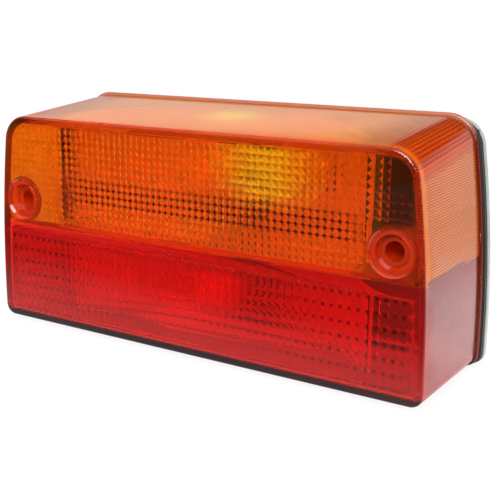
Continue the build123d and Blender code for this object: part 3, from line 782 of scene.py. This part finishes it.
def dress(mesh, node):
    """Give a skin its materials: one, or those of a lens's zones or a reflector's two sides."""
    mesh.materials.clear()
    materials = LENS_SKINS.get(node, (SLOT_MATERIALS[SLOT_OF[node]],))
    if node.endswith("reflector"):
        materials += (BARE,)
    for material in materials:
        mesh.materials.append(material)
    for face in mesh.polygons:
        if node in LENS_SKINS:
            face.material_index = lens_zone(node, face, [mesh.vertices[v].co for v in face.vertices])
        elif node.endswith("reflector"):
            face.material_index = face.normal.y > REFLECTOR_BACK


def add_skin(node):
    """Piece that stands in for a node, made from its mesh."""
    mesh = nodes[node].data.copy()
    mesh.name = node + "_skin"
    bm = bmesh.new()
    bm.from_mesh(mesh)
    weld_and_smooth(bm, node)
    bm.to_mesh(mesh)
    bm.free()
    if mesh.has_custom_normals:
        mesh.attributes.remove(mesh.attributes["custom_normal"])
    dress(mesh, node)
    piece = bpy.data.objects.new(node + "_skin", mesh)
    scene.collection.objects.link(piece)
    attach(piece, "root")
    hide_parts(node)


for node_name, cad_object in nodes.items():
    cad_object.data.materials.clear()
    cad_object.data.materials.append(SLOT_MATERIALS[SLOT_OF[node_name]])
    add_skin(node_name)


# Studio

ROOM_GREYS = ((0.0, 0.3), (0.45, 0.04), (0.62, 0.08), (0.8, 0.8), (1.0, 1.0))
SWEEP_GREYS = ((0.0, 0.9), (0.45, 0.85), (0.60, 0.68), (0.67, 0.66), (0.71, 0.04), (0.82, 0.04), (1.0, 1.0))
SWEEP_FADE = (-0.35, 0.25)
SWEEP_LEFT_FADE = (-0.5, -0.75)
PAPER_THROUGH_LENS = (0.97, 0.97, 0.97)
FLOOR_RADIUS = 0.6
FLOOR_SIDES = 64
FLOOR_GAP = 0.2 * MM
FLOOR_GREYS = ((0.0, 0.05), (1.0, 0.88))
FLOOR_BACK_FADE = (-0.16, 0.0)
FLOOR_LEFT_FADE = (-0.11, -0.16)
FLOOR_NEAR_FADE = (0.34, 0.18)
FLOOR_FAR_SHARE = 0.45
FLOOR_PAPER_SHARE = 0.9
FLOOR_ROUGHNESS = 0.9
LAMP_MIDDLE = Vector((0.0, 0.0, 0.0))
SOFTBOXES = (
    ("key_softbox", (0.2, -1.0, 0.65), (0.8, 0.8), 22.0, True),
    ("top_softbox", (0.1, 0.1, 1.0), (0.9, 0.7), 4.0, False),
    ("side_softbox", (1.0, 0.25, 0.35), (0.7, 0.7), 6.5, False),
)
CAMERA_PLACE = (0.20943, -0.35241, 0.08924)
CAMERA_TILT = math.radians(75.885)
CAMERA_TURN = math.radians(31.794)
CAMERA_ROLL = math.radians(0.452)
CAMERA_SENSOR = 36.0
CAMERA_LENS = 65.5
CAMERA_NEAR = 0.01


def build_world():
    """White sweep behind the lamp and overhead, a darker room in front of it."""
    world = bpy.data.worlds.new("studio")
    scene.world = world
    world.use_nodes = True
    tree = world.node_tree
    tree.nodes.clear()
    coords = tree.nodes.new("ShaderNodeTexCoord")
    split = tree.nodes.new("ShaderNodeSeparateXYZ")
    tree.links.new(coords.outputs["Generated"], split.inputs["Vector"])
    height = add_range(tree, split.outputs["Z"], (-1.0, 1.0), (0.0, 1.0))
    room = add_grey_ramp(tree, height, ROOM_GREYS)
    sweep = add_grey_ramp(tree, height, SWEEP_GREYS)
    behind = add_falloff(tree, split.outputs["Y"], *SWEEP_FADE)
    light = add_mix(tree, behind, room, sweep)
    path = tree.nodes.new("ShaderNodeLightPath")
    open_side = add_math(tree, "MAXIMUM", behind, add_falloff(tree, split.outputs["X"], *SWEEP_LEFT_FADE))
    through = add_product(tree, path.outputs["Is Transmission Ray"], open_side)
    around = tree.nodes.new("ShaderNodeBackground")
    tree.links.new(add_mix(tree, through, light, rgba(PAPER_THROUGH_LENS)), around.inputs["Color"])
    white = tree.nodes.new("ShaderNodeBackground")
    white.inputs["Color"].default_value = (1.0, 1.0, 1.0, 1.0)
    mix = tree.nodes.new("ShaderNodeMixShader")
    tree.links.new(path.outputs["Is Camera Ray"], mix.inputs["Fac"])
    tree.links.new(around.outputs["Background"], mix.inputs[1])
    tree.links.new(white.outputs["Background"], mix.inputs[2])
    output = tree.nodes.new("ShaderNodeOutputWorld")
    tree.links.new(mix.outputs["Shader"], output.inputs["Surface"])


def floor_paper():
    """Pale paper that the camera sees as white with a trace of shadow."""
    material, tree, shader = new_material("floor_paper")
    coords = tree.nodes.new("ShaderNodeTexCoord")
    x, y, _ = add_axes(tree)
    # Painted light and shade on the floor, seen in reflections and bounced light: dark in front, darker away
    # from the lamp
    behind = add_falloff(tree, y, *FLOOR_BACK_FADE)
    away = tree.nodes.new("ShaderNodeVectorMath")
    away.operation = "LENGTH"
    tree.links.new(coords.outputs["Object"], away.inputs[0])
    near = add_falloff(tree, away.outputs["Value"], *FLOOR_NEAR_FADE)
    lit = add_product(tree, behind,
                      add_math(tree, "MULTIPLY_ADD", near, 1.0 - FLOOR_FAR_SHARE, FLOOR_FAR_SHARE))
    path = tree.nodes.new("ShaderNodeLightPath")
    open_side = add_math(tree, "MAXIMUM", behind, add_falloff(tree, x, *FLOOR_LEFT_FADE))
    through = add_product(tree, path.outputs["Is Transmission Ray"], open_side)
    seen = add_math(tree, "MAXIMUM", path.outputs["Is Camera Ray"], through)
    tone = add_grey_ramp(tree, add_math(tree, "MAXIMUM", lit, seen), FLOOR_GREYS)
    tree.links.new(tone, shader.inputs["Base Color"])
    shader.inputs["Roughness"].default_value = FLOOR_ROUGHNESS
    shader.inputs["Specular IOR Level"].default_value = 0.0
    paper = tree.nodes.new("ShaderNodeEmission")
    mix = tree.nodes.new("ShaderNodeMixShader")
    tree.links.new(add_math(tree, "MULTIPLY", seen, FLOOR_PAPER_SHARE), mix.inputs["Fac"])
    tree.links.new(shader.outputs["BSDF"], mix.inputs[1])
    tree.links.new(paper.outputs["Emission"], mix.inputs[2])
    output = next(n for n in tree.nodes if n.type == "OUTPUT_MATERIAL")
    tree.links.new(mix.outputs["Shader"], output.inputs["Surface"])
    return material


def build_floor(level):
    """Round floor under the lamp."""
    bm = bmesh.new()
    bmesh.ops.create_circle(bm, cap_ends=True, segments=FLOOR_SIDES, radius=FLOOR_RADIUS)
    mesh = bpy.data.meshes.new("floor")
    bm.to_mesh(mesh)
    bm.free()
    mesh.materials.append(floor_paper())
    floor = bpy.data.objects.new("floor", mesh)
    floor.location = (0.0, 0.0, level)
    scene.collection.objects.link(floor)


def add_softbox(name, place, size, power, mirrored):
    """Area lamp that faces the object; mirrored is whether glossy surfaces show it."""
    data = bpy.data.lights.new(name, "AREA")
    data.shape = "RECTANGLE"
    data.size, data.size_y = size
    data.energy = power
    lamp = bpy.data.objects.new(name, data)
    lamp.location = place
    lamp.rotation_euler = (LAMP_MIDDLE - Vector(place)).to_track_quat("-Z", "Y").to_euler()
    lamp.visible_glossy = mirrored
    scene.collection.objects.link(lamp)


def add_camera():
    """Camera at the photograph's viewing angle."""
    data = bpy.data.cameras.new("camera")
    data.sensor_width = CAMERA_SENSOR
    data.lens = CAMERA_LENS
    data.clip_start = CAMERA_NEAR
    camera = bpy.data.objects.new("camera", data)
    camera.location = CAMERA_PLACE
    level = Euler((CAMERA_TILT, 0.0, CAMERA_TURN)).to_matrix()
    camera.rotation_euler = (level @ Matrix.Rotation(CAMERA_ROLL, 3, "Z")).to_euler()
    scene.collection.objects.link(camera)
    scene.camera = camera


build_world()
build_floor(cad_box[0].z - FLOOR_GAP)
for softbox in SOFTBOXES:
    add_softbox(*softbox)
add_camera()
scene.view_settings.view_transform = "Standard"
scene.cycles.max_bounces = 32
scene.cycles.glossy_bounces = 16
scene.cycles.transmission_bounces = 32
